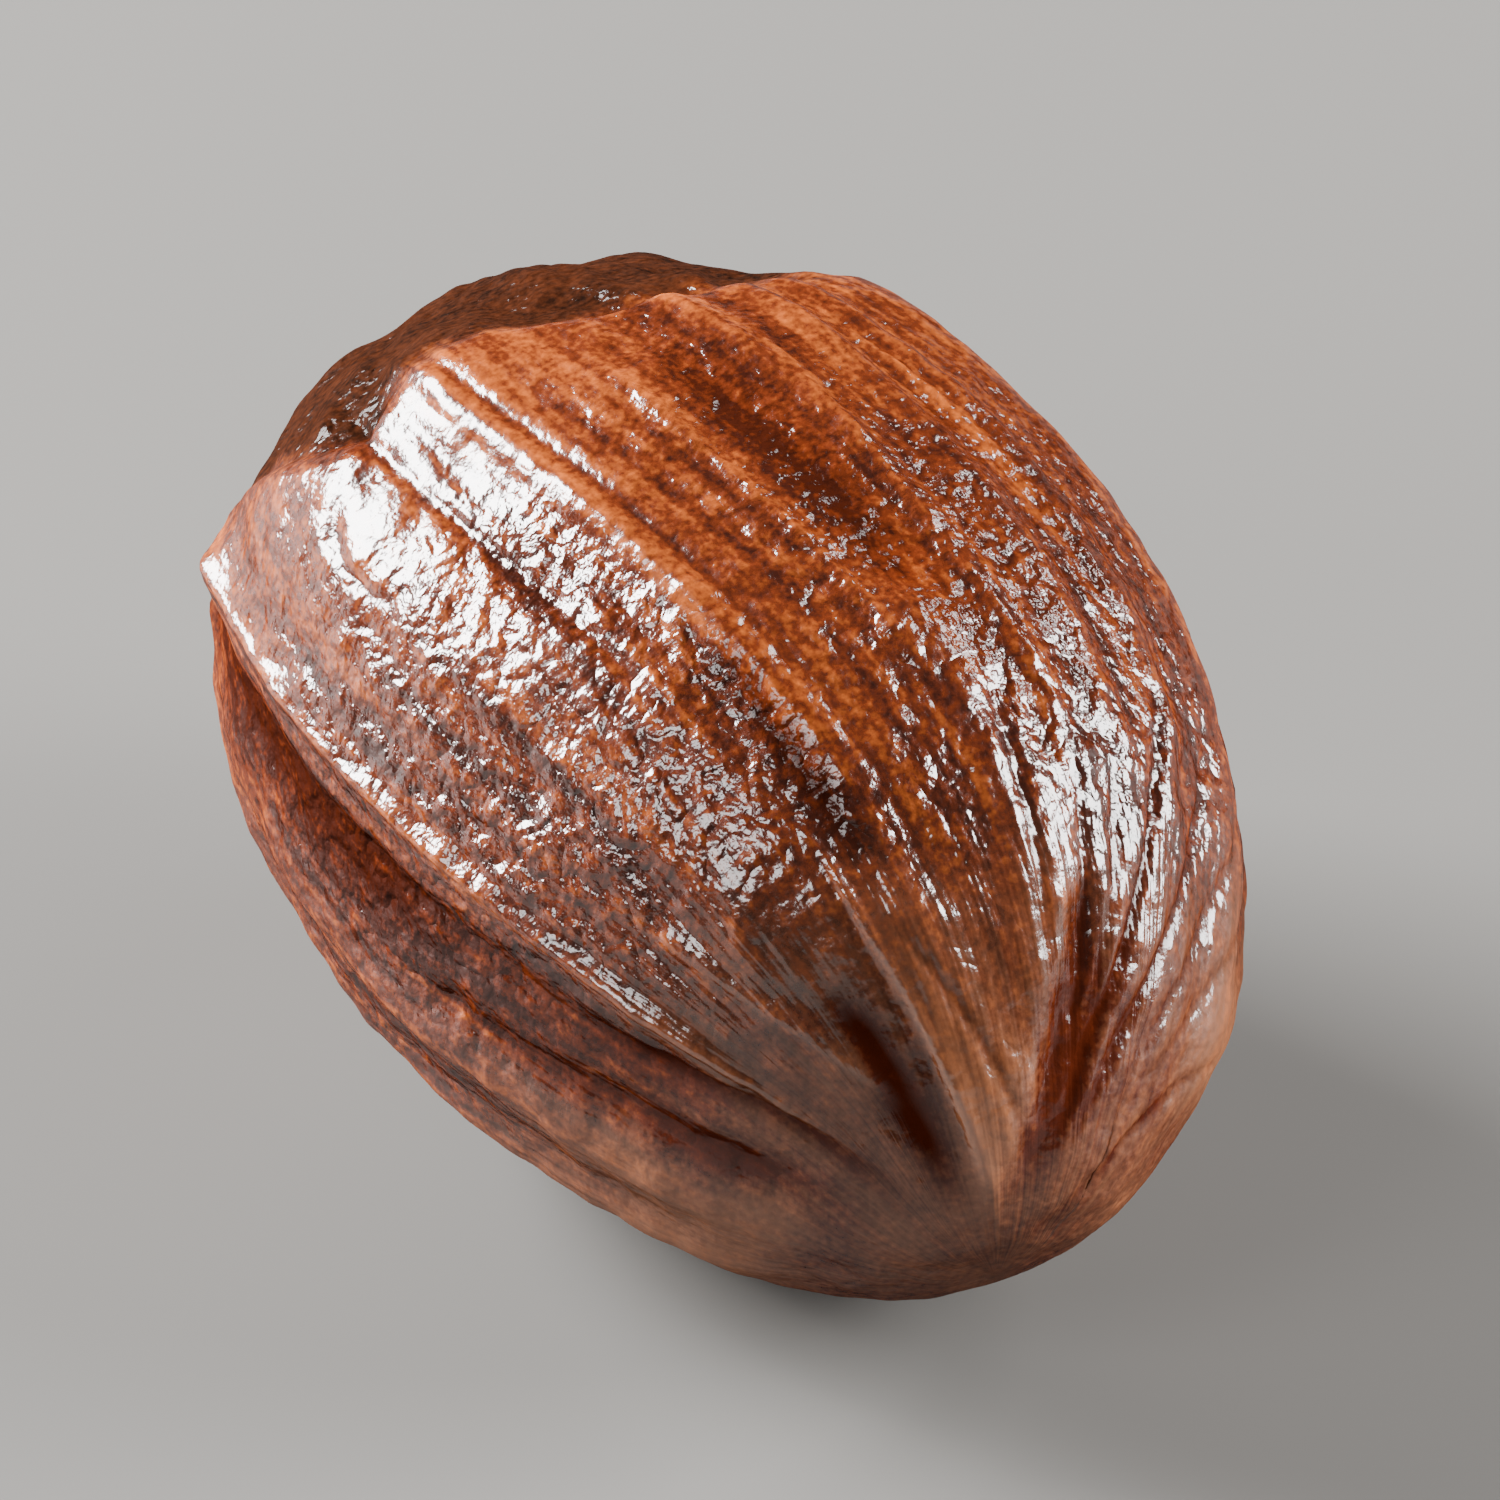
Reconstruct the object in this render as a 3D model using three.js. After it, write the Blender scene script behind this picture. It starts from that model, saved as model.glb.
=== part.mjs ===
// A whole nutmeg in its shell, lying on its side.
//
// Units are millimetres and +Z is up. The long axis lies along X, with the pointed end, the apex,
// towards +X and the blunt end, the base, towards -X. The origin is the middle of the outline on
// the surface that the nutmeg rests on.
//
// Every relief line is placed in the apex frame: "down" is the angle away from the apex, 0 at the
// apex and 180 at the far side of the base, and "turn" is the angle round the apex, 0 over the top
// and growing towards -Y. Both are in degrees.

import * as THREE from 'three';
import { mergeVertices } from 'three/addons/utils/BufferGeometryUtils.js';

// Driving dimensions of the shell.
const LENGTH = 31.6;
const WIDTH = 21.8;
const HEIGHT = 21.3;
const REST_SPOT_DEPTH = 0.3;

// The apex is not on the long axis: the shell bows, so the apex hangs low and a little to -Y.
const APEX_DROP = 27.5;
const APEX_SWING = 6.3;

// Where the shell departs from an even oval. Each spread is an angle over the shell.
const SWELLINGS = [
  { name: 'apex', down: 17, turn: 0, spread: 17, height: 0.95 },
  { name: 'nose beside the apex', down: 19, turn: -77, spread: 24, height: 0.8 },
  { name: 'underside near the apex', down: 15, turn: 132, spread: 22, height: 1.05 },
  { name: 'flat side along the raphe', down: 55, turn: 95, spread: 40, height: -0.5 },
  { name: 'flat back of the top', down: 66, turn: -90, spread: 30, height: -0.4 },
  { name: 'base', down: 130, turn: 64, spread: 28, height: 0.95 },
];

// The ridged shell swells towards a scalloped rim round the base and ends there. The smooth cap
// inside the rim lies lower, most of all on the side that the ridges lean to.
const RIM = { down: 130, lean: 6, leanTurn: -5, notch: 7, notchTurn: 55, notchSpread: 14 };
const RIM_SOFTNESS = 2.2;
const RIM_SWELL = { height: 0.45, spread: 22 };
const RIM_STEP = { least: 0.2, most: 0.5, turn: 45 };

// The raphe starts at the base as a small nub that stands clear of the rim.
const NUB = { down: 122, turn: 87, spread: 0.8, height: 0.42 };

// Relief fades out above the rest spot, so that the spot has a clean edge.
const REST_FADE_FROM = 0.3;
const REST_FADE_TO = 2.4;

// Faces: segments round the apex, and from the apex to the far side of the base.
const SEGMENTS_ROUND = 96;
const SEGMENTS_DOWN = 58;

// The rows of faces turn by this much between the waist and the base, to follow the ridges.
const FACE_TWIST = { turn: 26, from: 62, to: 132 };

// Radius at which an angle round the apex is turned into a width across a ridge.
const RELIEF_RADIUS = 12;

// Angles down from the apex at which each ridge states its turn.
const STATIONS = [30, 75, 120];

// Ridges have a height above the shell, grooves a negative one. "turns" are at the three stations,
// "span" is where along the shell the line runs, and "flanks" are the widths of its two sides, the
// first on the side of the smaller turn.
const RIDGES = [
  { name: 'raphe', turns: [46, 64, 84], span: [46, 126], height: 0.28, flanks: [0.8, 0.5] },
  { name: 'raphe shade', turns: [56, 75, 97], span: [44, 122], height: -0.3, flanks: [0.7, 2] },
  { name: 'base lobe', turns: [40, 45, 64], span: [84, 131], height: 0.14, flanks: [3.2, 3.2] },
  { name: 'lobe groove', turns: [16, 25, 47], span: [90, 136], height: -0.1, flanks: [0.8, 0.8] },
  { name: 'belly', turns: [28, 31, 44], span: [50, 98], height: 0.25, flanks: [2.8, 2.8] },
  { name: 'main ridge', turns: [9, 13, 33], span: [68, 139], height: 0.4, flanks: [2.6, 0.7] },
  { name: 'valley', turns: [2, 6, 27], span: [62, 136], height: -0.05, flanks: [0.9, 0.9] },
  { name: 'second ridge', turns: [-7, -3, 16], span: [88, 140], height: 0.05, flanks: [0.5, 0.5] },
  { name: 'fan shoulder', turns: [-7, -6, 10], span: [40, 90], height: 0.3, flanks: [1.4, 0.9] },
  { name: 'furrow', turns: [-32, -13, 3], span: [86, 136], height: -0.15, flanks: [0.9, 0.9] },
  { name: 'third ridge', turns: [-19, -18, -7], span: [66, 141], height: 0.2, flanks: [0.45, 0.45] },
  { name: 'fourth ridge', turns: [-28, -28, -20], span: [68, 141], height: 0.18, flanks: [0.5, 0.5] },
  { name: 'fifth ridge', turns: [-30, -39, -31], span: [62, 141], height: 0.22, flanks: [0.5, 0.5] },
  { name: 'sixth ridge', turns: [-60, -55, -45], span: [30, 140], height: 0.35, flanks: [1.2, 1.2] },
  { name: 'apex leaf', turns: [12, 18, 29], span: [18, 58], height: 0.32, flanks: [1.7, 0.35] },
  { name: 'leaf groove', turns: [-7, -11, 36], span: [18, 52], height: -0.35, flanks: [0.6, 0.6] },
  { name: 'low groove', turns: [68, 90, 94], span: [26, 72], height: -0.3, flanks: [0.8, 0.8] },
  { name: 'low ridge', turns: [88, 99, 106], span: [26, 110], height: 0.35, flanks: [1, 1.2] },
];

// The rest of the way round has plainer ridges, unevenly spaced.
const BACK_RIDGES = { count: 8, from: 118, to: 284, wander: 6, height: 0.42, flank: 1.15, seed: 20 };

// Shell colour and finish.
const SHELL_COLOUR = '#7c4220';
const SHELL_ROUGHNESS = 0.4;

const { degToRad, radToDeg, smoothstep } = THREE.MathUtils;

// A repeatable random draw between 0 and 1.
function seededDraws(seed) {
  let state = seed;
  return () => {
    state = (state * 16807) % 2147483647;
    return state / 2147483647;
  };
}

function backRidges() {
  const draw = seededDraws(BACK_RIDGES.seed);
  const step = (BACK_RIDGES.to - BACK_RIDGES.from) / (BACK_RIDGES.count - 1);
  const ridges = [];
  for (let i = 0; i < BACK_RIDGES.count; i += 1) {
    const middle = BACK_RIDGES.from + i * step;
    const wander = () => (draw() - 0.5) * 2 * BACK_RIDGES.wander;
    ridges.push({
      name: `back ridge ${i + 1}`,
      turns: [middle + wander(), middle + wander(), middle + wander()],
      span: [24 + draw() * 14, 140],
      height: BACK_RIDGES.height * (0.7 + 0.6 * draw()),
      flanks: [BACK_RIDGES.flank * (0.7 + 0.6 * draw()), BACK_RIDGES.flank * (0.7 + 0.6 * draw())],
    });
  }
  return ridges;
}

// The smooth curve of a ridge's turn through its three stations.
function turnAt(ridge, down) {
  const [a, b, c] = STATIONS;
  const [p, q, r] = ridge.turns;
  const nearApex = ((down - b) * (down - c)) / ((a - b) * (a - c));
  const waist = ((down - a) * (down - c)) / ((b - a) * (b - c));
  const nearBase = ((down - a) * (down - b)) / ((c - a) * (c - b));
  return p * nearApex + q * waist + r * nearBase;
}

// An angle brought into the range -180 to 180.
function wrapped(angle) {
  return THREE.MathUtils.euclideanModulo(angle + 180, 360) - 180;
}

function bell(distance, width) {
  return Math.exp(-((distance / width) ** 2));
}

// Distance in millimetres across the shell for an angle round the apex.
function across(angle, down) {
  return degToRad(wrapped(angle)) * Math.sin(degToRad(down)) * RELIEF_RADIUS;
}

function ridgeHeight(ridge, down, turn) {
  const [start, end] = ridge.span;
  const offset = across(turn - turnAt(ridge, down), down);
  const flank = offset < 0 ? ridge.flanks[0] : ridge.flanks[1];
  const rise = smoothstep(down, start - 8, start + 8);
  const fall = 1 - smoothstep(down, end - 5, end + 5);
  return ridge.height * bell(offset, flank) * rise * fall;
}

function rimDown(turn) {
  const lean = RIM.lean * Math.cos(degToRad(turn - RIM.leanTurn));
  const notch = RIM.notch * bell(wrapped(turn - RIM.notchTurn), RIM.notchSpread);
  return RIM.down + lean - notch;
}

// How far the shell swells towards the rim, and how far the cap inside the rim lies below it.
function baseHeight(down, turn) {
  const past = down - rimDown(turn);
  const inside = smoothstep(past, -RIM_SOFTNESS, RIM_SOFTNESS);
  const swell = RIM_SWELL.height * bell(Math.min(past, 0), RIM_SWELL.spread);
  const lean = (1 + Math.cos(degToRad(turn - RIM_STEP.turn)) * Math.sin(degToRad(down))) / 2;
  const step = RIM_STEP.least + (RIM_STEP.most - RIM_STEP.least) * lean;
  return swell - step * inside;
}

function nubHeight(down, turn) {
  const along = degToRad(down - NUB.down) * RELIEF_RADIUS;
  const aside = across(turn - NUB.turn, NUB.down);
  return NUB.height * bell(Math.hypot(along, aside), NUB.spread);
}

// The angle over a globe between two places on it.
function angleBetween(downA, turnA, downB, turnB) {
  const [a, b, round] = [downA, downB, turnB - turnA].map(degToRad);
  const cosine = Math.cos(a) * Math.cos(b) + Math.sin(a) * Math.sin(b) * Math.cos(round);
  return radToDeg(Math.acos(THREE.MathUtils.clamp(cosine, -1, 1)));
}

function broadForm(down, turn) {
  return SWELLINGS.reduce((sum, place) => {
    const away = angleBetween(down, turn, place.down, place.turn);
    return sum + place.height * bell(away, place.spread);
  }, 0);
}

const allRidges = [...RIDGES, ...backRidges()];

function reliefAt(down, turn) {
  const ridged = allRidges.reduce((sum, ridge) => sum + ridgeHeight(ridge, down, turn), 0);
  return ridged + baseHeight(down, turn) + nubHeight(down, turn);
}

// The axes of the apex frame: towards turn 90, along the apex, and towards turn 0.
function apexFrame() {
  const drop = degToRad(APEX_DROP);
  const swing = degToRad(APEX_SWING);
  const flat = Math.cos(drop);
  const apex = new THREE.Vector3(flat * Math.cos(swing), -flat * Math.sin(swing), -Math.sin(drop));
  const top = new THREE.Vector3(0, 0, 1).projectOnPlane(apex).normalize();
  const side = new THREE.Vector3().crossVectors(apex, top);
  return new THREE.Matrix4().makeBasis(side, apex, top);
}

// Scales a geometry to a box of the given size, centred on X and Y and standing on z = 0.
function fitToBox(geometry, size) {
  geometry.computeBoundingBox();
  const box = geometry.boundingBox;
  const middle = box.getCenter(new THREE.Vector3());
  const scale = size.clone().divide(box.getSize(new THREE.Vector3()));
  geometry.translate(-middle.x, -middle.y, -box.min.z);
  geometry.scale(scale.x, scale.y, scale.z);
}

// Flattens the shell where it touches the surface that it lies on.
function pressRestSpot(geometry) {
  const positions = geometry.getAttribute('position');
  for (let i = 0; i < positions.count; i += 1) {
    positions.setZ(i, Math.max(positions.getZ(i) - REST_SPOT_DEPTH, 0));
  }
}

function shellGeometry() {
  const sphere = new THREE.SphereGeometry(1, SEGMENTS_ROUND, SEGMENTS_DOWN);
  sphere.deleteAttribute('normal');
  sphere.deleteAttribute('uv');
  const geometry = mergeVertices(sphere);
  const positions = geometry.getAttribute('position');
  const frame = apexFrame();
  const half = new THREE.Vector3(LENGTH, WIDTH, HEIGHT + REST_SPOT_DEPTH).multiplyScalar(0.5);
  const point = new THREE.Vector3();
  const outward = new THREE.Vector3();
  for (let i = 0; i < positions.count; i += 1) {
    point.fromBufferAttribute(positions, i).normalize();
    const down = radToDeg(Math.acos(THREE.MathUtils.clamp(point.y, -1, 1)));
    const twist = FACE_TWIST.turn * smoothstep(down, FACE_TWIST.from, FACE_TWIST.to);
    const turn = radToDeg(Math.atan2(point.x, point.z)) + twist;
    point.setFromSphericalCoords(1, degToRad(down), degToRad(turn)).applyMatrix4(frame);
    outward.copy(point).divide(half).normalize();
    point.multiply(half);
    const clear = smoothstep(point.z + half.z, REST_FADE_FROM, REST_FADE_TO);
    point.addScaledVector(outward, broadForm(down, turn) + clear * reliefAt(down, turn));
    positions.setXYZ(i, point.x, point.y, point.z);
  }
  fitToBox(geometry, new THREE.Vector3(LENGTH, WIDTH, HEIGHT + REST_SPOT_DEPTH));
  pressRestSpot(geometry);
  geometry.computeVertexNormals();
  return geometry;
}

function nutmeg() {
  const shell = new THREE.MeshStandardMaterial({
    color: SHELL_COLOUR,
    roughness: SHELL_ROUGHNESS,
    metalness: 0,
  });
  const mesh = new THREE.Mesh(shellGeometry(), shell);
  mesh.name = 'nutmeg';
  return mesh;
}

const model = new THREE.Group();
model.add(nutmeg());

export default model;
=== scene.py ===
# %% [markdown]
# # A whole nutmeg in its shell
#
# A nutmeg is the seed of a tropical tree. Round the kernel sits a thin woody shell, brown and
# naturally polished, and on the tree a net of red mace grips it so tightly that it presses ridges
# and furrows into the shell. This lesson models one such seed lying on its side.
#
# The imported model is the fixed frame: it gives the nutmeg's true place and size, and the form made
# here has to fill the same box. The form is worked out in millimetres and degrees, which is how one
# measures a nutmeg, and turned to metres when the mesh is made.

import math

import bpy
import numpy as np
from mathutils import Matrix, Vector, noise


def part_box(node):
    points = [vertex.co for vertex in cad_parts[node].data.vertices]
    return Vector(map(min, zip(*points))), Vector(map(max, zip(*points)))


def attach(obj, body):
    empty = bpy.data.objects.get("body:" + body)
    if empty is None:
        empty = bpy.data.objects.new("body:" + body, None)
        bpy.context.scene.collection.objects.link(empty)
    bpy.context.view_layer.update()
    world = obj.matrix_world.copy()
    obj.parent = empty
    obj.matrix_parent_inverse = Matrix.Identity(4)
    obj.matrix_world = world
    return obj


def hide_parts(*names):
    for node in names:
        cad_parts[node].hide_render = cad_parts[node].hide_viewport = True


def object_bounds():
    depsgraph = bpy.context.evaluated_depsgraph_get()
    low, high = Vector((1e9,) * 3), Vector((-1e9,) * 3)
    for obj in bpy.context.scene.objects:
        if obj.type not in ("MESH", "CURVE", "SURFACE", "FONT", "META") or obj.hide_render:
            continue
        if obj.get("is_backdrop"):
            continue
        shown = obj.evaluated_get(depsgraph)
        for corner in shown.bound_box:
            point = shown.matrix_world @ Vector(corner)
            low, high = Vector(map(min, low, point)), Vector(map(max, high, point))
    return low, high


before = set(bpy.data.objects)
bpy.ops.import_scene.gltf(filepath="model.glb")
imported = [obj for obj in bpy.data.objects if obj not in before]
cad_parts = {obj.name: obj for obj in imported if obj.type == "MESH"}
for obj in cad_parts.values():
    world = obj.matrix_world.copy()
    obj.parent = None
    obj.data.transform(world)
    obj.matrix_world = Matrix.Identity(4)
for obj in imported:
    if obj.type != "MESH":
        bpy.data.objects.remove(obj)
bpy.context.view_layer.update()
MM = 0.001
shell_low, shell_high = (np.array(corner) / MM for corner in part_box("nutmeg"))
shell_size = shell_high - shell_low
print("shell box, mm:", np.round(shell_size, 2))

# %% [markdown]
# ## Where things are on a seed
#
# The ridges of the shell all run together at the apex, the seed's soft point. So places on the
# shell are given the way a globe gives them, with the apex as its pole: "down" is the angle away
# from the apex, and "turn" is the angle round it, 0 over the top of the nutmeg and growing towards
# the front. A box-shaped or upright grid would cut across every ridge and need far more faces to
# hold them, so the mesh uses these same lines.

# %% The apex and the broad form
APEX_DROP = 27.5
APEX_SWING = 6.3
SWELLINGS = [
    # name, down, turn, spread, height
    ("apex", 17, 0, 17, 0.95),
    ("nose beside the apex", 19, -77, 24, 0.8),
    ("underside near the apex", 15, 132, 22, 1.05),
    ("flat side along the raphe", 55, 95, 40, -0.5),
    ("flat back of the top", 66, -90, 30, -0.4),
    ("base", 130, 64, 28, 0.95),
]
RELIEF_RADIUS = 12


def bell(distance, width):
    return np.exp(-((distance / width) ** 2))


def smooth_step(value, start, end):
    part = np.clip((value - start) / (end - start), 0, 1)
    return part * part * (3 - 2 * part)


def wrapped(angle):
    return (angle + 180) % 360 - 180


def across(angle, down):
    """Millimetres across the shell for an angle round the apex."""
    return np.radians(wrapped(angle)) * np.sin(np.radians(down)) * RELIEF_RADIUS


def apex_axes():
    """The directions towards turn 0, towards turn 90 and along the apex."""
    drop, swing = math.radians(APEX_DROP), math.radians(APEX_SWING)
    flat = math.cos(drop)
    apex = np.array([flat * math.cos(swing), -flat * math.sin(swing), -math.sin(drop)])
    top = np.array([0, 0, 1]) - apex * apex[2]
    top /= np.linalg.norm(top)
    return top, np.cross(apex, top), apex


def direction(down, turn):
    top, side, apex = apex_axes()
    down, turn = np.radians(down)[:, None], np.radians(turn)[:, None]
    return np.cos(down) * apex + np.sin(down) * (np.cos(turn) * top + np.sin(turn) * side)


def broad_form(down, turn):
    unit = direction(down, turn)
    total = np.zeros(len(unit))
    for _, place_down, place_turn, spread, height in SWELLINGS:
        centre = direction(np.array([place_down]), np.array([place_turn]))[0]
        away = np.degrees(np.arccos(np.clip(unit @ centre, -1, 1)))
        total += height * bell(away, spread)
    return total


print("apex points along", np.round(apex_axes()[2], 2))

# %% [markdown]
# ## The ridges
#
# Each ridge or furrow is a line down the shell with its own height and flanks. It could be
# sculpted, but then nobody could say how high it is. Here a line states its turn at three stations,
# near the apex, at the waist and near the base, and a smooth curve joins them. One flank may be
# steeper than the other, as on the main ridge, whose steep side catches the light as a bright edge.

# %% Ridges and furrows
STATIONS = (30, 75, 120)
RAPHE = (46, 64, 84)
MAIN_RIDGE = (9, 13, 33)
RIDGES = [
    # name, turns at the stations, span, height, flanks
    ("raphe", RAPHE, (46, 126), 0.28, (0.8, 0.5)),
    ("raphe shade", (56, 75, 97), (44, 122), -0.3, (0.7, 2)),
    ("base lobe", (40, 45, 64), (84, 131), 0.14, (3.2, 3.2)),
    ("lobe groove", (16, 25, 47), (90, 136), -0.1, (0.8, 0.8)),
    ("belly", (28, 31, 44), (50, 98), 0.25, (2.8, 2.8)),
    ("main ridge", MAIN_RIDGE, (68, 139), 0.4, (2.6, 0.7)),
    ("valley", (2, 6, 27), (62, 136), -0.05, (0.9, 0.9)),
    ("second ridge", (-7, -3, 16), (88, 140), 0.05, (0.5, 0.5)),
    ("fan shoulder", (-7, -6, 10), (40, 90), 0.3, (1.4, 0.9)),
    ("furrow", (-32, -13, 3), (86, 136), -0.15, (0.9, 0.9)),
    ("third ridge", (-19, -18, -7), (66, 141), 0.2, (0.45, 0.45)),
    ("fourth ridge", (-28, -28, -20), (68, 141), 0.18, (0.5, 0.5)),
    ("fifth ridge", (-30, -39, -31), (62, 141), 0.22, (0.5, 0.5)),
    ("sixth ridge", (-60, -55, -45), (30, 140), 0.35, (1.2, 1.2)),
    ("apex leaf", (12, 18, 29), (18, 58), 0.32, (1.7, 0.35)),
    ("leaf groove", (-7, -11, 36), (18, 52), -0.35, (0.6, 0.6)),
    ("low groove", (68, 90, 94), (26, 72), -0.3, (0.8, 0.8)),
    ("low ridge", (88, 99, 106), (26, 110), 0.35, (1, 1.2)),
]
START_FADE = 8
END_FADE = 5


def turn_at(turns, down):
    a, b, c = STATIONS
    near_apex = (down - b) * (down - c) / ((a - b) * (a - c))
    waist = (down - a) * (down - c) / ((b - a) * (b - c))
    near_base = (down - a) * (down - b) / ((c - a) * (c - b))
    return turns[0] * near_apex + turns[1] * waist + turns[2] * near_base


def ridge_height(ridge, down, turn):
    _, turns, (start, end), height, flanks = ridge
    offset = across(turn - turn_at(turns, down), down)
    flank = np.where(offset < 0, flanks[0], flanks[1])
    starting = smooth_step(down, start - START_FADE, start + START_FADE)
    ending = 1 - smooth_step(down, end - END_FADE, end + END_FADE)
    return height * bell(offset, flank) * (starting * ending)


print(len(RIDGES), "ridges and furrows on the front")

# %% [markdown]
# ## The back
#
# The mace grips the whole seed, so ridges run down the back too, evenly round it but no two alike.
# Writing each of them out would say little, so they are drawn: a fixed seed gives the same wander,
# length, height and flanks on every run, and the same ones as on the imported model.

# %% Ridges on the back
BACK = {"count": 8, "from": 118, "to": 284, "wander": 6, "height": 0.42, "flank": 1.15, "seed": 20}
BACK_START = {"least": 24, "range": 14}
BACK_END = 140
UNEVEN = {"least": 0.7, "range": 0.6}
DRAW_FACTOR = 16807
DRAW_MODULUS = 2147483647


def seeded_draws(seed):
    """The same repeatable draws between 0 and 1 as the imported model's back ridges."""
    state = seed
    while True:
        state = state * DRAW_FACTOR % DRAW_MODULUS
        yield state / DRAW_MODULUS


def back_ridges():
    draw = seeded_draws(BACK["seed"])

    def drawn(limits):
        return limits["least"] + limits["range"] * next(draw)

    step = (BACK["to"] - BACK["from"]) / (BACK["count"] - 1)
    ridges = []
    for number in range(BACK["count"]):
        middle = BACK["from"] + number * step
        turns = tuple(middle + (next(draw) - 0.5) * 2 * BACK["wander"] for _ in STATIONS)
        span = (drawn(BACK_START), BACK_END)
        height = BACK["height"] * drawn(UNEVEN)
        flanks = (BACK["flank"] * drawn(UNEVEN), BACK["flank"] * drawn(UNEVEN))
        ridges.append((f"back ridge {number + 1}", turns, span, height, flanks))
    return ridges


all_ridges = RIDGES + back_ridges()
print(len(all_ridges), "ridges and furrows in all")

# %% [markdown]
# ## The blunt end
#
# At the base the ridged part of the shell ends in a rim, which bites in beside the raphe, and inside
# it lies a lower cap without ridges. The raphe, the seam that fed the seed, starts there as a small
# nub. Rim and cap are one step in the relief rather than pieces of their own, because on a real seed
# the shell runs on through them.

# %% Rim, cap and nub
RIM = {"down": 130, "lean": 6, "lean_turn": -5, "notch": 7, "notch_turn": 55, "notch_spread": 14}
RIM_SOFTNESS = 2.2
RIM_SWELL = {"height": 0.45, "spread": 22}
RIM_STEP = {"least": 0.2, "most": 0.5, "turn": 45}
NUB = {"down": 122, "turn": 87, "spread": 0.8, "height": 0.42}


def rim_down(turn):
    lean = RIM["lean"] * np.cos(np.radians(turn - RIM["lean_turn"]))
    notch = RIM["notch"] * bell(wrapped(turn - RIM["notch_turn"]), RIM["notch_spread"])
    return RIM["down"] + lean - notch


def inside_rim(down, turn):
    return smooth_step(down - rim_down(turn), -RIM_SOFTNESS, RIM_SOFTNESS)


def base_height(down, turn):
    past = np.minimum(down - rim_down(turn), 0)
    swell = RIM_SWELL["height"] * bell(past, RIM_SWELL["spread"])
    lean = (1 + np.cos(np.radians(turn - RIM_STEP["turn"])) * np.sin(np.radians(down))) / 2
    step = RIM_STEP["least"] + (RIM_STEP["most"] - RIM_STEP["least"]) * lean
    return swell - step * inside_rim(down, turn)


def nub_height(down, turn):
    along = np.radians(down - NUB["down"]) * RELIEF_RADIUS
    aside = across(turn - NUB["turn"], NUB["down"])
    return NUB["height"] * bell(np.hypot(along, aside), NUB["spread"])


rim_all_round = rim_down(np.arange(360))
print("rim is", round(rim_all_round.min()), "to", round(rim_all_round.max()), "degrees down")

# %% [markdown]
# ## Threads and creases
#
# Lines as fine as a hair run along the ridges to the apex: they are the prints of the mace's edges.
# An image could carry them, but only real geometry moves the highlights and shows in the outline.
# They are written as the ridges are, with flanks of a fraction of a millimetre.

# %% Threads and creases
THREADS = [
    # name, turns at the stations, span, height, flanks
    ("thread 1", (-7, -10, -10), (44, 76), -0.15, (0.25, 0.25)),
    ("thread 2", (-13, -20, -20), (30, 70), -0.12, (0.2, 0.2)),
    ("thread 3", (-14, -28, -29), (34, 74), -0.1, (0.2, 0.2)),
    ("thread 4", (-14, -38, -40), (28, 76), -0.2, (0.2, 0.2)),
    ("thread 5", (-20, -52, -54), (26, 70), -0.14, (0.2, 0.2)),
    ("thread 6", (-28, -64, -64), (34, 64), -0.1, (0.2, 0.2)),
    ("thread 7", (-36, -78, -78), (34, 64), -0.1, (0.2, 0.2)),
    ("leaf crest", (14.5, 21.5, 29), (24, 64), 0.2, (0.24, 0.12)),
    ("leaf fold", (3, 24, 45), (24, 54), -0.1, (0.18, 0.18)),
    ("hollow beside the leaf", (25.5, 30, 34), (24, 46), -0.1, (0.35, 0.35)),
    ("belly fold", (24.5, 52, 62), (32, 66), 0.1, (0.4, 0.18)),
    ("crease below the raphe", (46, 78, 100), (26, 54), -0.14, (0.2, 0.5)),
    ("apex fold", (-50, -150, -250), (16, 34), -0.14, (0.2, 0.2)),
    ("lobe crease", (16, 25, 47), (90, 136), -0.12, (0.22, 0.22)),
    ("foot of the main ridge", (6, 9.8, 30), (60, 134), -0.08, (0.2, 0.2)),
    ("second ridge crest", (-16, -4, 13), (82, 122), 0.14, (0.22, 0.22)),
    ("third ridge crest", (-40, -18.5, -9.3), (78, 126), 0.12, (0.2, 0.2)),
    ("fifth ridge crest", (-40, -39, -26), (88, 124), 0.12, (0.2, 0.2)),
    ("raphe cord", RAPHE, (38, 124), 0.12, (0.17, 0.17)),
    ("channel above the raphe", (42, 61.3, 81), (48, 90), -0.1, (0.2, 0.2)),
    ("main ridge crest", MAIN_RIDGE, (76, 112), 0.12, (0.3, 0.5)),
]
CRESCENT = {"down": 113, "turn": 50, "radius": 1.6, "width": 0.17, "depth": 0.14}
CRESCENT_ARC = {"middle": 10, "spread": 75}


def crescent_dent(down, turn):
    """A curved dent round the lower side of the lobe beside the raphe."""
    along = np.radians(down - CRESCENT["down"]) * RELIEF_RADIUS
    aside = across(turn - CRESCENT["turn"], down)
    ring = bell(np.hypot(along, aside) - CRESCENT["radius"], CRESCENT["width"])
    bearing = np.degrees(np.arctan2(along, aside))
    arc = bell(wrapped(bearing - CRESCENT_ARC["middle"]), CRESCENT_ARC["spread"])
    return -CRESCENT["depth"] * ring * arc


print(len(THREADS), "threads and creases, and a crescent dent")

# %% [markdown]
# ## Puckers, strands and lumps
#
# Between its lines the shell is never smooth. It dried unevenly, so it swells and puckers, long low
# strands run down its sides, and the cap is lumpy and faintly creased. Nobody could place every
# pucker by hand, so these come from noise with the pitch and height of the real ones.

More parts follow.
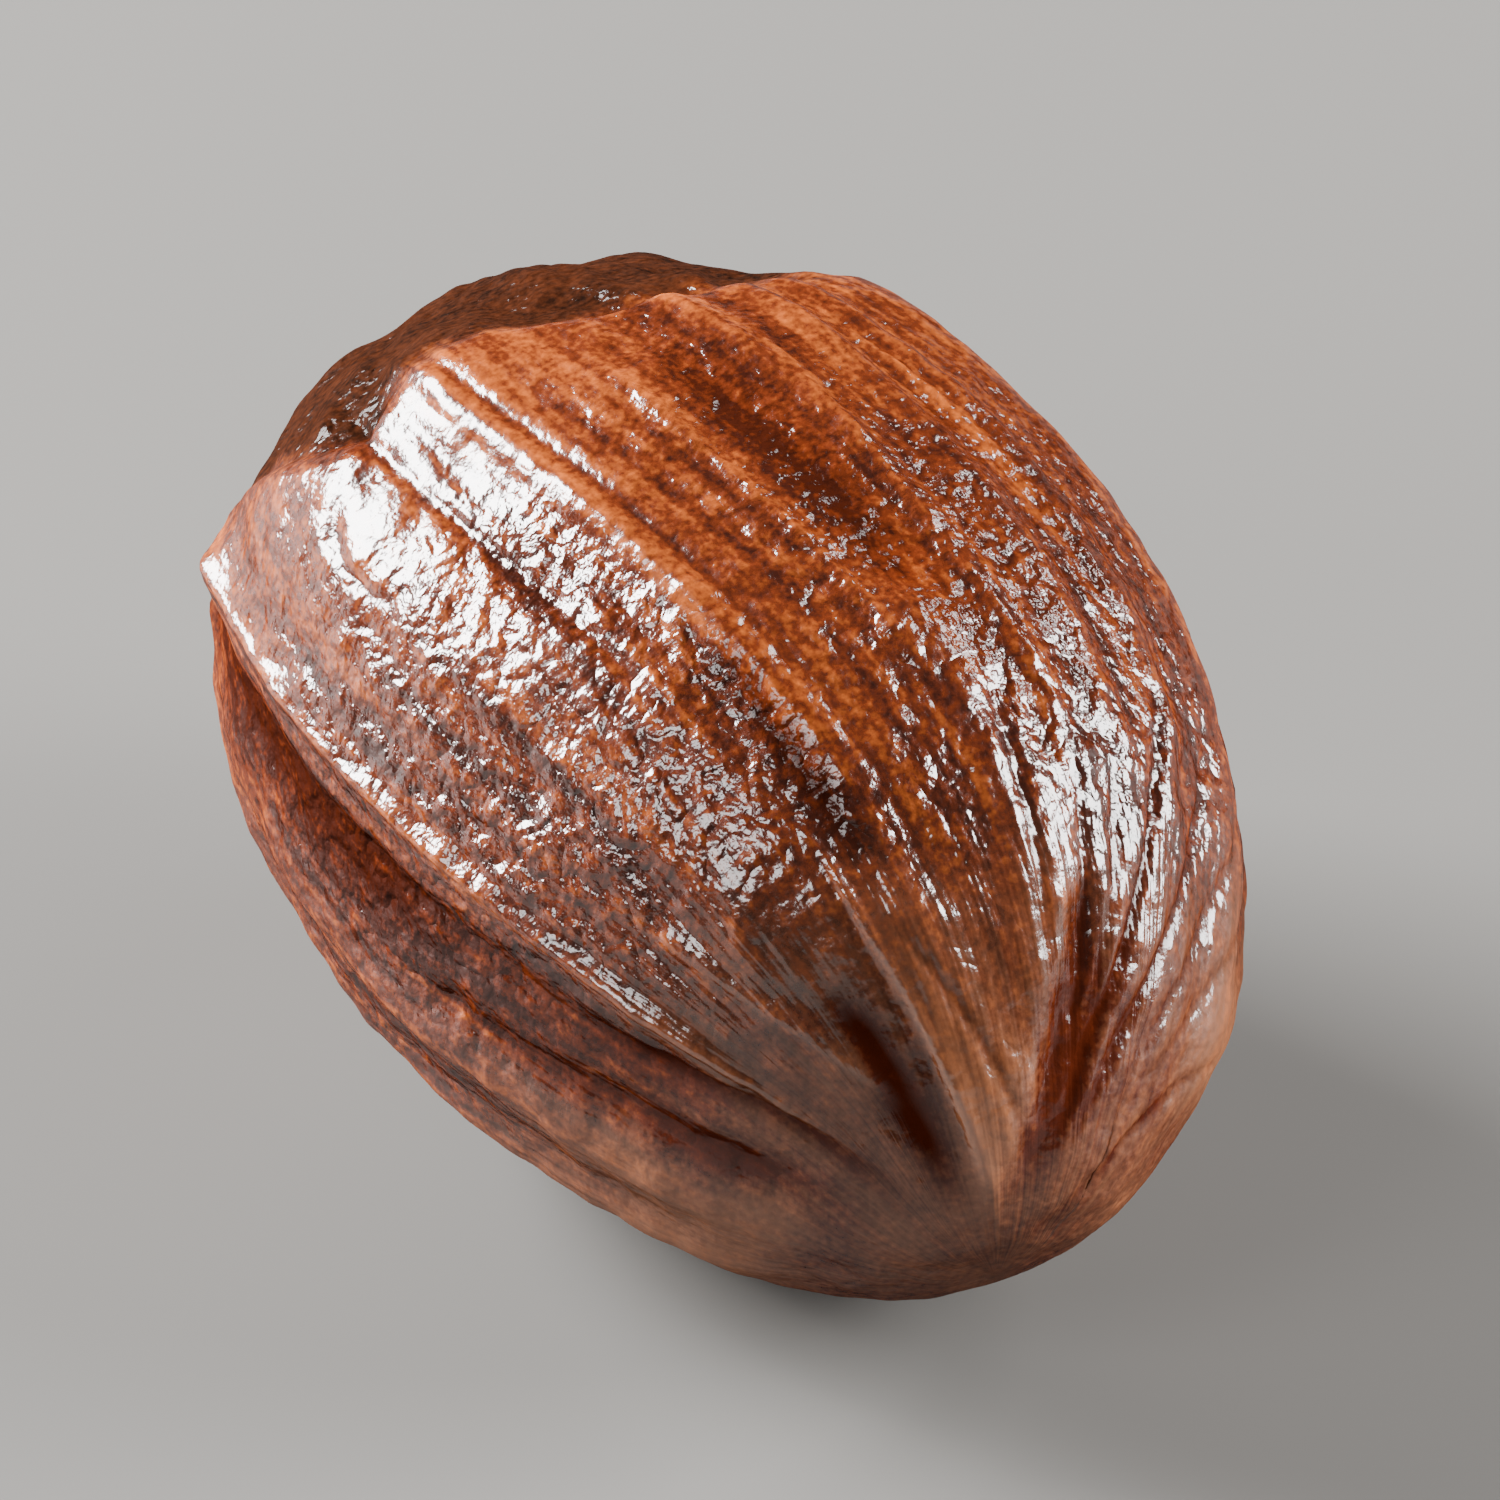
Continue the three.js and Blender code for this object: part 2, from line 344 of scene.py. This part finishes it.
# %% Noise for the fine relief
SWELLS = {"pitch": 3.0, "height": 0.12, "seed": 1}
PUCKERS = {"pitch": 0.9, "height": 0.085, "seed": 2}
STRANDS = {"pitch": 0.85, "height": 0.07, "seed": 3}
STRAND_LENGTH = 9.0
CAP_LUMPS = {"pitch": 2.4, "height": 0.4, "seed": 5}
CAP_CREASES = {"count": 26, "height": 0.06, "wander": 4, "pitch": 2.4, "seed": 6}
SEED_SHIFTS = (7.3, 3.1, 5.7)


def noise_at(points, layer):
    """Smooth noise between about -1 and 1 at points in millimetres, with bumps a pitch apart."""
    shift = Vector([layer["seed"] * part for part in SEED_SHIFTS])
    return np.array([noise.noise(Vector(point) / layer["pitch"] + shift) for point in points])


print("puckers are", PUCKERS["pitch"], "mm apart and", PUCKERS["height"], "mm high")

# %% [markdown]
# ## The shell as a mesh
#
# Rows of points run round the shell, and columns run from the apex to the base. The columns lean
# with the ridges, so that a crest lies along a column instead of stepping across it. Every point
# starts on an ellipsoid and moves straight out by the relief, and the result is fitted to the packed
# box. The flat spot underneath is where the nutmeg rests.

# %% Grid that follows the ridges
ROUND = 500
DOWN = 196
GUIDES = (
    "sixth ridge", "fifth ridge", "fourth ridge", "third ridge", "second ridge", "main ridge",
    "belly", "raphe", "low ridge",
)
GUIDE_SPAN = (12, 140)


def following_turn(down, flow):
    """The turn, at each angle down, of the flow line that crosses the waist at the given turn."""
    guides = np.array([turns for name, turns, *_ in RIDGES if name in GUIDES], dtype=float)
    guides = guides[np.argsort(guides[:, 1])]
    near_apex = np.interp(flow, guides[:, 1], guides[:, 0] - guides[:, 1], period=360)
    near_base = np.interp(flow, guides[:, 1], guides[:, 2] - guides[:, 1], period=360)
    return turn_at((flow + near_apex, flow, flow + near_base), np.clip(down, *GUIDE_SPAN))


def shell_grid():
    """One point at each pole, and between them rows of points, each row once round."""
    downs = np.linspace(0, 180, DOWN + 1)[1:-1]
    flows = np.arange(ROUND) * 360 / ROUND
    down = np.concatenate([[0], np.repeat(downs, ROUND), [180]])
    flow = np.concatenate([[0], np.tile(flows, DOWN - 1), [0]])
    return down, flow


def shell_faces():
    """Quads between the rows, and a fan of triangles round each pole."""
    last = 1 + (DOWN - 1) * ROUND
    faces = []
    for column in range(ROUND):
        beside = (column + 1) % ROUND
        faces.append((0, 1 + column, 1 + beside))
        faces.append((last, last - ROUND + beside, last - ROUND + column))
        for row in range(DOWN - 2):
            upper = 1 + row * ROUND
            lower = upper + ROUND
            faces.append((upper + column, lower + column, lower + beside, upper + beside))
    return faces


down, flow = shell_grid()
turn = following_turn(down, flow)
print(len(down), "points on the shell")

# %% Relief of every point
REST_SPOT_DEPTH = 0.3
REST_FADE = (0.3, 2.4)

half = np.array([shell_size[0], shell_size[1], shell_size[2] + REST_SPOT_DEPTH]) / 2
unit = direction(down, turn)
on_form = unit * half
outward = unit / half
outward /= np.linalg.norm(outward, axis=1)[:, None]

flow_angle = np.radians(flow)
along = np.radians(down) * RELIEF_RADIUS
around = np.stack([np.cos(flow_angle), np.sin(flow_angle)], axis=1) * RELIEF_RADIUS
grain = np.column_stack([around, along])

main_relief = sum(ridge_height(ridge, down, turn) for ridge in all_ridges)
lines = sum(ridge_height(thread, down, turn) for thread in THREADS) + crescent_dent(down, turn)
cap = inside_rim(down, turn)
swells = SWELLS["height"] * noise_at(on_form, SWELLS)
puckers = PUCKERS["height"] * noise_at(on_form, PUCKERS)
strands = STRANDS["height"] * noise_at(grain * [1, 1, STRANDS["pitch"] / STRAND_LENGTH], STRANDS)
strands *= np.sin(np.radians(down)) ** 2 * (1 - cap)
lumps = cap * CAP_LUMPS["height"] * noise_at(on_form, CAP_LUMPS)
crease_wave = np.radians(turn) * CAP_CREASES["count"] + CAP_CREASES["wander"] * noise_at(on_form, CAP_CREASES)
lumps += cap * np.sin(np.radians(down)) * CAP_CREASES["height"] * np.sin(crease_wave)

relief = main_relief + base_height(down, turn) + nub_height(down, turn)
relief += lines + swells + puckers + strands + lumps
clear = smooth_step(on_form[:, 2] + half[2], *REST_FADE)
points = on_form + outward * (broad_form(down, turn) + clear * relief)[:, None]
print("relief from", round(relief.min(), 2), "to", round(relief.max(), 2), "mm")

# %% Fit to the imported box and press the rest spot
low, high = points.min(axis=0), points.max(axis=0)
points = (points - (low + high) / 2) * (half * 2) / (high - low)
points[:, 2] += half[2] - REST_SPOT_DEPTH
points[:, 2] = np.maximum(points[:, 2], 0)
points += [(shell_low[0] + shell_high[0]) / 2, (shell_low[1] + shell_high[1]) / 2, shell_low[2]]

mesh = bpy.data.meshes.new("nutmeg_shell")
mesh.from_pydata((points * MM).tolist(), [], shell_faces())
mesh.shade_smooth()
shell = bpy.data.objects.new("nutmeg_shell", mesh)
bpy.context.scene.collection.objects.link(shell)
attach(shell, "root")
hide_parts("nutmeg")
print("shell has", len(mesh.polygons), "faces")

# %% [markdown]
# ## What the finish has to know
#
# Colour and shine follow the relief: crests are worn pale, furrows are painted dark as shade, and the end
# near the apex is dull. A material can't tell a crest from a furrow by itself, so the mesh stores that on its
# points, and the material reads it. Bands of painted shade, darker than their height alone makes them,
# are written as ridges too, with a darkness in place of a height.

# %% Fields stored on the points
# Each band darkens the colour as painted shade: in a furrow, in hollows, under the raphe and on the far
# flank.
PAINTED_SHADE_BANDS = [
    # name, turns at the stations, span, darkness, flanks
    ("furrow", (-27, -12, 3), (86, 124), 0.65, (1.0, 0.8)),
    ("hollow below the main ridge", (14, 17, 30), (64, 88), 1.0, (0.6, 0.6)),
    ("under the raphe", (54, 75, 97), (76, 128), 1.0, (0.8, 3.2)),
    ("hollow beside the leaf", (25.5, 30, 34), (22, 48), 0.8, (0.6, 0.5)),
    ("far flank", (-84, -80, -70), (40, 122), 0.9, (6.0, 2.4)),
]
LOBES = {"down": 118, "turn": 44, "long": 9, "wide": 17}
BASE_SHARE = 0.5
CAP_EDGE = {"pitch": 1.1, "wander": 4, "seed": 4}
CAP_FADE = (-3, 5)
APEX_FADE = (28, 70)
BASE_FADE = (75, 130)
LINED_FADE = (50, 78)

ragged_edge = down - rim_down(turn) + CAP_EDGE["wander"] * noise_at(on_form, CAP_EDGE)
long_lobes = bell(down - LOBES["down"], LOBES["long"])
fields = {
    "height": main_relief + BASE_SHARE * base_height(down, turn),
    "cap": smooth_step(ragged_edge, *CAP_FADE),
    "near_apex": 1 - smooth_step(down, *APEX_FADE),
    "near_base": smooth_step(down, *BASE_FADE),
    "worn_lobes": long_lobes * bell(wrapped(turn - LOBES["turn"]), LOBES["wide"]),
    "painted_shade_bands": sum(ridge_height(band, down, turn) for band in PAINTED_SHADE_BANDS),
    "creases": lines,
    "lined": 1 - smooth_step(down, *LINED_FADE),
}


def store(name, kind, key, values):
    attribute = mesh.attributes.new(name, kind, "POINT")
    attribute.data.foreach_set(key, np.asarray(values, dtype=np.float32).ravel())


for name, values in fields.items():
    store(name, "FLOAT", "value", values)
store("grain", "FLOAT_VECTOR", "vector", grain)
print("fields:", ", ".join(fields), "and grain")

# %% [markdown]
# ## The finish: a naturally polished woody seed coat
#
# The shell is lignin, the stuff of wood, dried hard and rubbed smooth by handling. To the eye it is
# a brown, grainy wood under a thin, slightly waxy polish. It could be painted as an image, but that
# would blur close up and pinch at the poles. Here every pattern is noise, and its pitch is a real
# size: grains of 0.2 mm, crinkles of half a millimetre, streaks along the wood that are half a
# millimetre wide and 6 mm long, and blotches of about 2 mm.

# %% Helpers for colour and nodes
def linear(hex_colour):
    """An sRGB hex colour as linear red, green, blue and full alpha."""
    channels = [int(hex_colour[i:i + 2], 16) / 255 for i in (1, 3, 5)]
    return [c / 12.92 if c <= 0.04045 else ((c + 0.055) / 1.055) ** 2.4 for c in channels] + [1.0]


def add_node(tree, kind, inputs=None, **settings):
    """Adds a node, sets its settings, and gives each input a value or a link."""
    node = tree.nodes.new(kind)
    for name, value in settings.items():
        setattr(node, name, value)
    for name, value in (inputs or {}).items():
        if isinstance(value, bpy.types.NodeSocket):
            tree.links.new(value, node.inputs[name])
        else:
            node.inputs[name].default_value = value
    return node


print("mid grey in linear light:", round(linear("#808080")[0], 3))

# %% Patterns of the seed coat
PATTERNS = {
    # name: pitch, detail, distortion
    "blotches": (2.2, 4.0, 0.0),
    "grains": (0.2, 4.0, 0.0),
    "crinkles": (0.52, 1.5, 0.2),
    "folds": (0.95, 1.5, 0.2),
    "specks": (0.25, 2.0, 0.0),
}
PATTERNS_ALONG_THE_WOOD = {
    # name: pitch, length, detail
    "streaks": (0.5, 6.0, 2.0),
    "fibres": (0.3, 6.0, 1.0),
}
NOISE_MIDDLE = 0.5

seed_coat = bpy.data.materials.new("woody_seed_coat")
seed_coat.use_nodes = True
tree = seed_coat.node_tree
mesh.materials.append(seed_coat)

part = {}
for name in fields:
    part[name] = add_node(tree, "ShaderNodeAttribute", attribute_name=name).outputs["Fac"]

place = add_node(tree, "ShaderNodeTexCoord").outputs["Object"]
in_mm = add_node(tree, "ShaderNodeVectorMath", {0: place, "Scale": 1 / MM}, operation="SCALE")
for name, (pitch, detail, distortion) in PATTERNS.items():
    inputs = {"Vector": in_mm.outputs["Vector"], "Scale": 1 / pitch, "Detail": detail}
    inputs["Distortion"] = distortion
    part[name] = add_node(tree, "ShaderNodeTexNoise", inputs).outputs["Fac"]

along_wood = add_node(tree, "ShaderNodeAttribute", attribute_name="grain").outputs["Vector"]
for name, (pitch, length, detail) in PATTERNS_ALONG_THE_WOOD.items():
    stretch = {0: along_wood, 1: (1, 1, pitch / length)}
    stretched = add_node(tree, "ShaderNodeVectorMath", stretch, operation="MULTIPLY")
    inputs = {"Vector": stretched.outputs["Vector"], "Scale": 1 / pitch, "Detail": detail}
    part[name] = add_node(tree, "ShaderNodeTexNoise", inputs).outputs["Fac"]

# The distance of a noise from its middle has sharp valleys, as the folds of a dried skin have.
inputs = {0: part["folds"], 1: NOISE_MIDDLE}
from_middle = add_node(tree, "ShaderNodeMath", inputs, operation="SUBTRACT").outputs[0]
part["folds"] = add_node(tree, "ShaderNodeMath", {0: from_middle}, operation="ABSOLUTE").outputs[0]
print(len(part), "parts to make the finish from")

# %% [markdown]
# ### Sums of parts
#
# Most of the finish is sums: the tone of the wood is a start, plus a share of its height, plus a
# share of each pattern. In the node editor each sum is a row of Math nodes. A table says the same
# in one line, so each row below names what it makes, its start, and the pairs that are multiplied
# and added to it. Noise lies about a half, so a sum of patterns often starts below nought.

# %% How a table of sums becomes nodes
KEPT_FROM_0_TO_1 = ("rubbed", "handled", "polish")


def work_out(sums):
    """Adds the nodes for a table of sums, and keeps each total as a part of that name."""
    for name, start, pairs in sums:
        total = start
        for first, second in pairs:
            inputs = {0: part.get(first, first), 1: part.get(second, second), 2: total}
            total = add_node(tree, "ShaderNodeMath", inputs, operation="MULTIPLY_ADD").outputs[0]
        if name in KEPT_FROM_0_TO_1:
            total = add_node(tree, "ShaderNodeClamp", {"Value": total}).outputs["Result"]
        part[name] = total


print("kept from 0 to 1:", ", ".join(KEPT_FROM_0_TO_1))

# %% [markdown]
# ### Colour
#
# The wood is orange-brown where the crests have worn and red-brown between, and a little paler towards
# the base. Furrows, thread grooves and the valleys of the folds are painted nearly black, and the bands
# of painted shade darker still: that is painted shade. Towards the apex the wood is worn to a tan, whose
# greyer cast is a painted sheen, and the cap is mottled and painted dark as shade. One colour ramp gives
# the wood its tone, and the tan and the cap are laid over it where they belong.

# %% Colour
DEEPEST_TONE = -0.1
WOOD_COLOURS = [(0.05, "#2e0f06"), (0.4, "#58220c"), (0.95, "#a6521d")]
# The tan near the apex is partly worn wood and partly a painted sheen, and its factor darkens it as painted
# shade in grooves and shade bands.
TAN_AND_SHEEN_COLOURS = ("#44190c", "#8a5a3e")
# The cap is mottled, and painted dark as shade.
CAP_AND_SHADE_COLOURS = ("#150a06", "#391b0e")
# In the tone, height, creases, crinkles and folds darken every hollow as painted shade and lighten the crests
# as wear; the shade bands darken it further.
COLOUR_SUMS = [
    ("tone", -1.36, [("shallow_height", 0.4), ("near_base", 0.08), ("painted_shade_bands", -0.28),
                     ("creases", 1.6), ("streaks", 1.1), ("blotches", 0.5), ("grains", 1.1),
                     ("crinkles", 0.4), ("folds", 0.7)]),
    ("tan_wear_and_shade", -1.1, [("fibres", 0.7), ("grains", 0.9), ("blotches", 1.3), ("creases", 2.5),
                        ("painted_shade_bands", -0.5), ("height", 2.0)]),
    ("tan_and_sheen_share", 0, [("near_apex", 0.7)]),
    ("cap_wear", -1.2, [("blotches", 1.2), ("grains", 2.2)]),
]

inputs = {0: part["height"], 1: DEEPEST_TONE}
part["shallow_height"] = add_node(tree, "ShaderNodeMath", inputs, operation="MAXIMUM").outputs[0]
work_out(COLOUR_SUMS)

ramp = add_node(tree, "ShaderNodeValToRGB", {"Fac": part["tone"]})
stops = ramp.color_ramp.elements
stops.remove(stops[1])
for number, (position, shade) in enumerate(WOOD_COLOURS):
    stop = stops.new(position) if number else stops[0]
    stop.position = position
    stop.color = linear(shade)

colour = ramp.outputs["Color"]
# The tan layer carries worn wood, a painted sheen and painted shade; the cap layer carries mottling and
# painted shade.
layers = [("tan_wear_and_shade", "tan_and_sheen_share", TAN_AND_SHEEN_COLOURS), ("cap_wear", "cap", CAP_AND_SHADE_COLOURS)]
for wear, share, shades in layers:
    inputs = {0: part[wear], 6: linear(shades[0]), 7: linear(shades[1])}
    worn = add_node(tree, "ShaderNodeMix", inputs, data_type="RGBA").outputs[2]
    inputs = {0: part[share], 6: colour, 7: worn}
    colour = add_node(tree, "ShaderNodeMix", inputs, data_type="RGBA").outputs[2]
print("palest wood in linear light:", [round(c, 3) for c in linear(WOOD_COLOURS[-1][1])[:3]])

# %% [markdown]
# ### Crinkles that break up the shine
#
# A polished nutmeg glitters, because its skin is crinkled all over. These crinkles are too shallow
# for the outline, so they are left to a bump, with depths in millimetres. Folds fade towards the
# base, crests and the two lobes beside the raphe are rubbed smoother, and near the apex the crinkles
# give way to fibres that run with the wood, so that the highlights there are long and thin.

# %% Bump
CRINKLE_DEPTH = 0.12
FOLD_DEPTH = 0.24
SPECK_DEPTH = 0.045
FIBRE_DEPTH = 0.085
BUMP_SUMS = [
    ("fold_depth", FOLD_DEPTH, [("near_base", -FOLD_DEPTH)]),
    ("crumple", 0, [("crinkles", CRINKLE_DEPTH), ("folds", "fold_depth")]),
    ("crumple_share", 1, [("lined", -0.7)]),
    ("speck_depth", SPECK_DEPTH, [("lined", -0.6 * SPECK_DEPTH)]),
    ("roughened", 0, [("crumple", "crumple_share"), ("specks", "speck_depth")]),
    ("rubbed", -0.2, [("height", 3.0)]),
    ("unrubbed_share", 1.5, [("rubbed", -0.8)]),
    ("off_the_lobes", 1, [("worn_lobes", -0.6)]),
    ("rough_share", 0, [("unrubbed_share", "off_the_lobes")]),
    ("fibre_depth", FIBRE_DEPTH, [("near_apex", -0.75 * FIBRE_DEPTH)]),
    ("fibres_there", 0, [("fibres", "lined")]),
    ("depth", 0, [("roughened", "rough_share"), ("fibres_there", "fibre_depth")]),
]
work_out(BUMP_SUMS)
bump = add_node(tree, "ShaderNodeBump", {"Strength": 1.0, "Distance": MM, "Height": part["depth"]})
bumped = bump.outputs["Normal"]
print("crinkles are up to", CRINKLE_DEPTH, "mm deep and folds up to", FOLD_DEPTH / 2)

# %% [markdown]
# ### Polish
#
# Handling polishes what it reaches: least polish is left in the furrows, in the bands of painted shade
# and on the cap, and near the apex the fine crests shine while the creases between them stay dull. The
# polish is a coat over the wood, and the wood under it has no shine of its own, which would only
# lay a grey haze over its colour.
#
# An ordinary varnish, with an index of 1.5, reflects 25 times as much at the rim as head-on. So its
# highlights would be weak and the rim of the nutmeg pale. A small share of a coat with a high index
# reflects less than three times as much at the rim: bright highlights on a body that stays brown.

# %% Polish
POLISH_SUMS = [
    ("gloss", 0.29, [("near_apex", -0.11), ("cap", -0.25)]),
    ("handled", 0.8, [("height", 2.5)]),
    ("handled_share", 0.4, [("handled", 0.6)]),
    ("off_the_bands", 1, [("painted_shade_bands", -0.9)]),
    ("gloss_share", 0, [("handled_share", "off_the_bands")]),
    ("fine_crests", 0, [("creases", "lined")]),
    ("polish", 0, [("gloss", "gloss_share"), ("fine_crests", 0.9)]),
    ("roughness", 0.3, [("blotches", 0.2), ("near_apex", 0.25), ("cap", 0.1)]),
]
COAT_ROUGHNESS = 0.18
COAT_IOR = 4.0
WOOD_IOR = 1.45
WOOD_SPECULAR = 0.0

work_out(POLISH_SUMS)
surface = tree.nodes["Principled BSDF"]
tree.links.new(colour, surface.inputs["Base Color"])
tree.links.new(part["roughness"], surface.inputs["Roughness"])
tree.links.new(part["polish"], surface.inputs["Coat Weight"])
tree.links.new(bumped, surface.inputs["Normal"])
tree.links.new(bumped, surface.inputs["Coat Normal"])
surface.inputs["IOR"].default_value = WOOD_IOR
surface.inputs["Specular IOR Level"].default_value = WOOD_SPECULAR
surface.inputs["Coat Roughness"].default_value = COAT_ROUGHNESS
surface.inputs["Coat IOR"].default_value = COAT_IOR
print("head-on the coat reflects", round(((COAT_IOR - 1) / (COAT_IOR + 1)) ** 2, 2), "of the light")

# %% [markdown]
# ## Floor
#
# The floor is one plain, matt, painted sheet, pale under these lights. It throws some light back
# under the nutmeg, and is so large that its edges stay out of the picture.

# %% Floor
FLOOR_SIZE = 1.2
FLOOR_COLOUR = "#62605d"
FLOOR_ROUGHNESS = 0.7

edge = FLOOR_SIZE / 2
corners = [(-edge, -edge, 0), (edge, -edge, 0), (edge, edge, 0), (-edge, edge, 0)]
sheet = bpy.data.meshes.new("floor")
sheet.from_pydata(corners, [], [(0, 1, 2, 3)])
floor = bpy.data.objects.new("floor", sheet)
bpy.context.scene.collection.objects.link(floor)

paint = bpy.data.materials.new("matt_paint")
paint.use_nodes = True
paint_surface = paint.node_tree.nodes["Principled BSDF"]
paint_surface.inputs["Base Color"].default_value = linear(FLOOR_COLOUR)
paint_surface.inputs["Roughness"].default_value = FLOOR_ROUGHNESS
sheet.materials.append(paint)
floor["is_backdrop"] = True
print("floor is", FLOOR_SIZE, "m square")

# %% [markdown]
# ## Light
#
# A softbox on the left and one on the right rake along the shell, so that each ridge shows a bright
# and a dark flank. A weak fill from the front left lays a sheen on the belly, and a small strip
# behind on the right picks out the ridges of the top. One lamp overhead would be simpler, but would
# flatten the relief. The directions are right, up and back as the camera sees them, so the view
# comes first.

# %% Softboxes
VIEW_AZIMUTH = 60.2
VIEW_ELEVATION = 36
CENTRE = Vector((0, 0, float(shell_high[2]) / 2)) * MM
LIGHT_DISTANCE = 0.45
LIGHTS = [
    # name, direction, direction of the first side, sides in metres, watts
    ("left_softbox", (-0.8, 0.6, -0.08), (0.25, 0.3, 0.22), (0.23, 0.26), 15.0),
    ("front_left_fill", (-0.56, 0.12, 0.82), (0.35, 0.1, 0.3), (0.23, 0.14), 0.9),
    ("right_softbox", (0.9, 0.34, 0.24), (0.31, -0.3, -0.9), (0.3, 0.2), 6.8),
    ("back_right_strip", (0.62, 0.78, -0.05), (0.1, -0.05, 0.5), (0.16, 0.09), 0.6),
]


def view_axes():
    """Right, up and back of a camera at the viewing angle."""
    azimuth, elevation = math.radians(VIEW_AZIMUTH), math.radians(VIEW_ELEVATION)
    level = math.cos(elevation)
    back = Vector((math.sin(azimuth) * level, -math.cos(azimuth) * level, math.sin(elevation)))
    right = Vector((math.cos(azimuth), math.sin(azimuth), 0))
    return right, back.cross(right), back


for name, towards, first_side, sides, watts in LIGHTS:
    axes = Matrix(view_axes()).transposed()
    towards = (axes @ Vector(towards)).normalized()
    side = axes @ Vector(first_side)
    side = (side - towards * side.dot(towards)).normalized()
    data = bpy.data.lights.new(name, "AREA")
    data.shape = "RECTANGLE"
    data.size, data.size_y = sides
    data.energy = watts
    light = bpy.data.objects.new(name, data)
    light.location = CENTRE + towards * LIGHT_DISTANCE
    light.rotation_mode = "QUATERNION"
    light.rotation_quaternion = Matrix((side, towards.cross(side), towards)).transposed().to_quaternion()
    bpy.context.scene.collection.objects.link(light)
print(len(LIGHTS), "softboxes")

# %% [markdown]
# ## The room
#
# Round the softboxes lies a warm grey room, brightest at the horizon and below and dim overhead.
# The shell mirrors it faintly, which keeps the shaded flanks from going black.

# %% World
ROOM_COLOUR = "#d0cac4"
HORIZON_GLOW = 0.35
OVERHEAD_GLOW = 0.1
GLOW_RISE = 0.12

world = bpy.data.worlds.new("studio")
bpy.context.scene.world = world
world.use_nodes = True
room = world.node_tree
way = add_node(room, "ShaderNodeTexCoord").outputs["Generated"]
rise = add_node(room, "ShaderNodeSeparateXYZ", {"Vector": way}).outputs["Z"]
fade = {"Value": rise, "From Max": GLOW_RISE, "To Min": HORIZON_GLOW, "To Max": OVERHEAD_GLOW}
glow = add_node(room, "ShaderNodeMapRange", fade, interpolation_type="SMOOTHSTEP").outputs["Result"]
room.nodes["Background"].inputs["Color"].default_value = linear(ROOM_COLOUR)
room.links.new(glow, room.nodes["Background"].inputs["Strength"])
print("the room glows from", HORIZON_GLOW, "at the horizon to", OVERHEAD_GLOW, "overhead")

# %% [markdown]
# ## Camera
#
# The camera stands far off for something so small, with a long lens, and looks down at about 36
# degrees. Close up with a short lens the near end would swell and the nutmeg would look like a boulder.

# %% Camera
CAMERA_DISTANCE = 0.42
LENS = 420
CLIP = (0.01, 10)

back = view_axes()[2]
data = bpy.data.cameras.new("camera")
data.lens = LENS
data.clip_start, data.clip_end = CLIP
camera = bpy.data.objects.new("camera", data)
camera.location = CENTRE + back * CAMERA_DISTANCE
camera.rotation_mode = "QUATERNION"
camera.rotation_quaternion = back.to_track_quat("Z", "Y")
bpy.context.scene.collection.objects.link(camera)
bpy.context.scene.camera = camera
print("camera is", CAMERA_DISTANCE, "m away with a", LENS, "mm lens")

# %% [markdown]
# ## Last: does it still fill the imported box?
#
# Threads and lumps move the outline a little, so the shell is measured once more.

# %% Sizes
low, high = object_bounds()
print("visual size, mm:", [round(c / MM, 2) for c in high - low])
